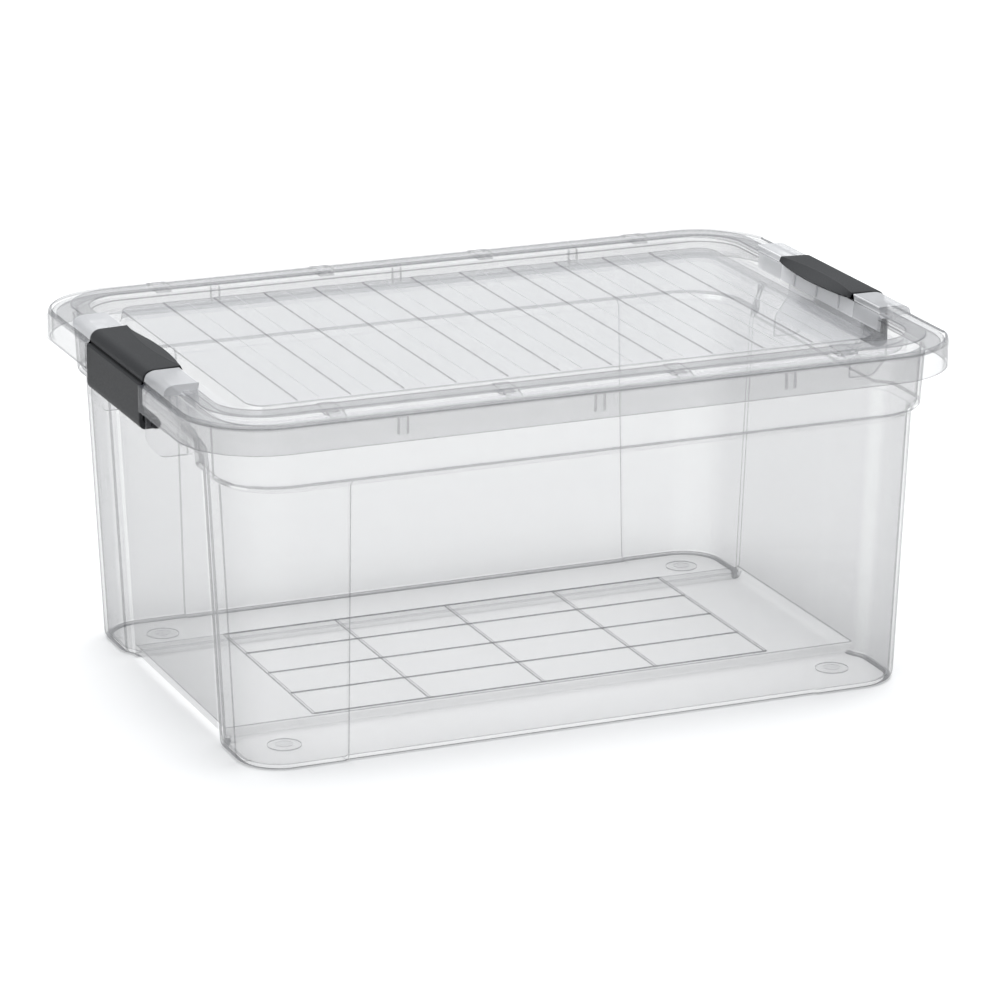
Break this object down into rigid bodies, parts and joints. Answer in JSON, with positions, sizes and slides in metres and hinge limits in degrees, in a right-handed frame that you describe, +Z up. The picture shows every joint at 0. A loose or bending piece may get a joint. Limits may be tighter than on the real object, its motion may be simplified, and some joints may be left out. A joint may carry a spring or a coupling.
{
  "type": "latching storage bin",
  "caption": "Clear stackable storage bin with a lift-off lid held by a swing-out latch at each end.",
  "frame": {"origin": "middle of the bounding box on the surface the bin stands on", "axes": "+X along the bin's length towards the right latch, +Y across its width away from the camera, +Z up"},
  "size_m": [0.429, 0.2944, 0.195],
  "materials": {
    "clear_plastic": "clear, glossy",
    "lid_plastic": "clear, glossy",
    "latch_plastic": "satin, dark grey"
  },
  "bodies": {
    "tub": {"tub": "clear_plastic"},
    "lid": {"lid": "lid_plastic"},
    "left_latch": {"left_latch": "latch_plastic"},
    "right_latch": {"right_latch": "latch_plastic"}
  },
  "joints": [
    {"name": "lid_lift", "type": "slide", "parent": "tub", "child": "lid", "axis": [0, 0, 1], "range_m": [0, 0.2]},
    {"name": "left_latch_hinge", "type": "hinge", "parent": "tub", "child": "left_latch", "pos_m": [-0.206, 0, 0.1665], "axis": [0, -1, 0], "range_deg": [0, 110]},
    {"name": "right_latch_hinge", "type": "hinge", "parent": "tub", "child": "right_latch", "pos_m": [0.206, 0, 0.1665], "axis": [0, 1, 0], "range_deg": [0, 110]}
  ]
}
